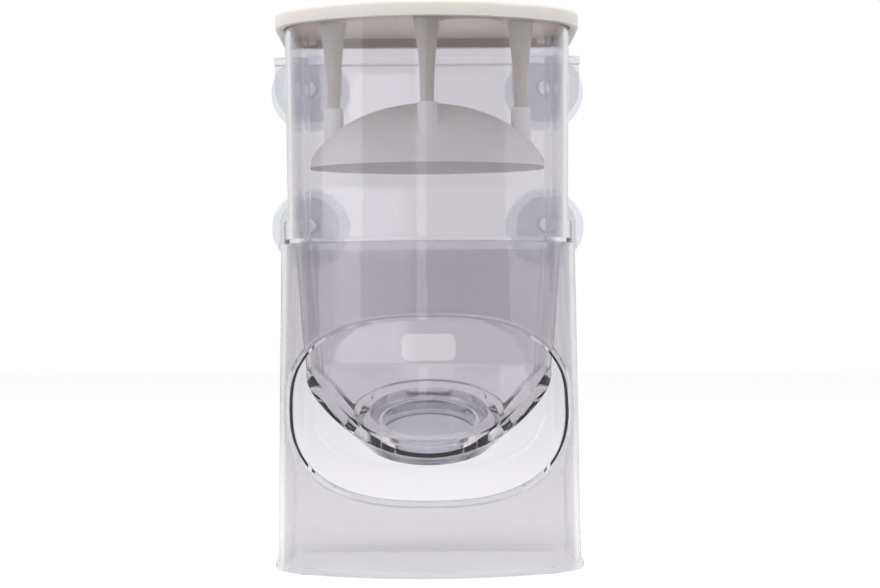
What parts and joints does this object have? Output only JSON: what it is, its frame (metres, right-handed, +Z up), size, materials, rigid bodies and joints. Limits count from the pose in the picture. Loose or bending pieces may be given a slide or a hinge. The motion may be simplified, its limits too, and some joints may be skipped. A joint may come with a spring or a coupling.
{
  "type": "brine shrimp hatchery",
  "caption": "Clear D-shaped hatching vessel with a sloping hopper, standing in a clear shell with an oval window; white lid with a hanging dome and suction cups behind.",
  "frame": {"origin": "bottom centre of the overall box: on the foot's level, midway across, and midway from the foot's front to the cups' lips", "axes": "+Z up along the vessel; +Y from the curved front to the flat back and the suction cups; +X to the right seen from the front"},
  "size_m": [0.1296, 0.1048, 0.2132],
  "materials": {
    "clear_shell": "gloss",
    "clear_vessel": "gloss",
    "clear_stopper": "gloss",
    "clear_vinyl": "gloss",
    "white_lid": "satin",
    "white_cap": "satin",
    "white_leg": "satin",
    "white_dome": "satin"
  },
  "bodies": {
    "shell": {"lower_shell": "clear_shell"},
    "vessel": {"hatching_vessel": "clear_vessel"},
    "lid": {"lid": "white_lid", "hanger_leg_front": "white_leg", "hanger_leg_left": "white_leg", "hanger_leg_right": "white_leg"},
    "dome": {"shade_dome": "white_dome"},
    "port_cap": {"port_cap": "white_cap"},
    "stopper": {"outlet_stopper": "clear_stopper"},
    "cup_upper_left": {"suction_cup_upper_left": "clear_vinyl"},
    "cup_upper_right": {"suction_cup_upper_right": "clear_vinyl"},
    "cup_lower_left": {"suction_cup_lower_left": "clear_vinyl"},
    "cup_lower_right": {"suction_cup_lower_right": "clear_vinyl"}
  },
  "joints": [
    {"name": "vessel_lift", "type": "slide", "parent": "shell", "child": "vessel", "axis": [0, 0, 1], "range_m": [0, 0.09]},
    {"name": "lid_lift", "type": "slide", "parent": "vessel", "child": "lid", "axis": [0, 0, 1], "range_m": [0, 0.065]},
    {"name": "dome_pull", "type": "slide", "parent": "lid", "child": "dome", "axis": [0, 0, 1], "range_m": [-0.009, 0]},
    {"name": "cap_lift", "type": "slide", "parent": "lid", "child": "port_cap", "axis": [0, 0, 1], "range_m": [0, 0.015]},
    {"name": "stopper_lift", "type": "slide", "parent": "vessel", "child": "stopper", "axis": [0, -0.3714, 0.9285], "range_m": [0, 0.012]},
    {"name": "cup_turn_upper_left", "type": "hinge", "parent": "vessel", "child": "cup_upper_left", "pos_m": [-0.0486, 0.0412, 0.1892], "axis": [0, 1, 0], "continuous": true},
    {"name": "cup_turn_upper_right", "type": "hinge", "parent": "vessel", "child": "cup_upper_right", "pos_m": [0.0486, 0.0412, 0.1892], "axis": [0, 1, 0], "continuous": true},
    {"name": "cup_turn_lower_left", "type": "hinge", "parent": "vessel", "child": "cup_lower_left", "pos_m": [-0.0486, 0.0412, 0.133], "axis": [0, 1, 0], "continuous": true},
    {"name": "cup_turn_lower_right", "type": "hinge", "parent": "vessel", "child": "cup_lower_right", "pos_m": [0.0486, 0.0412, 0.133], "axis": [0, 1, 0], "continuous": true}
  ]
}
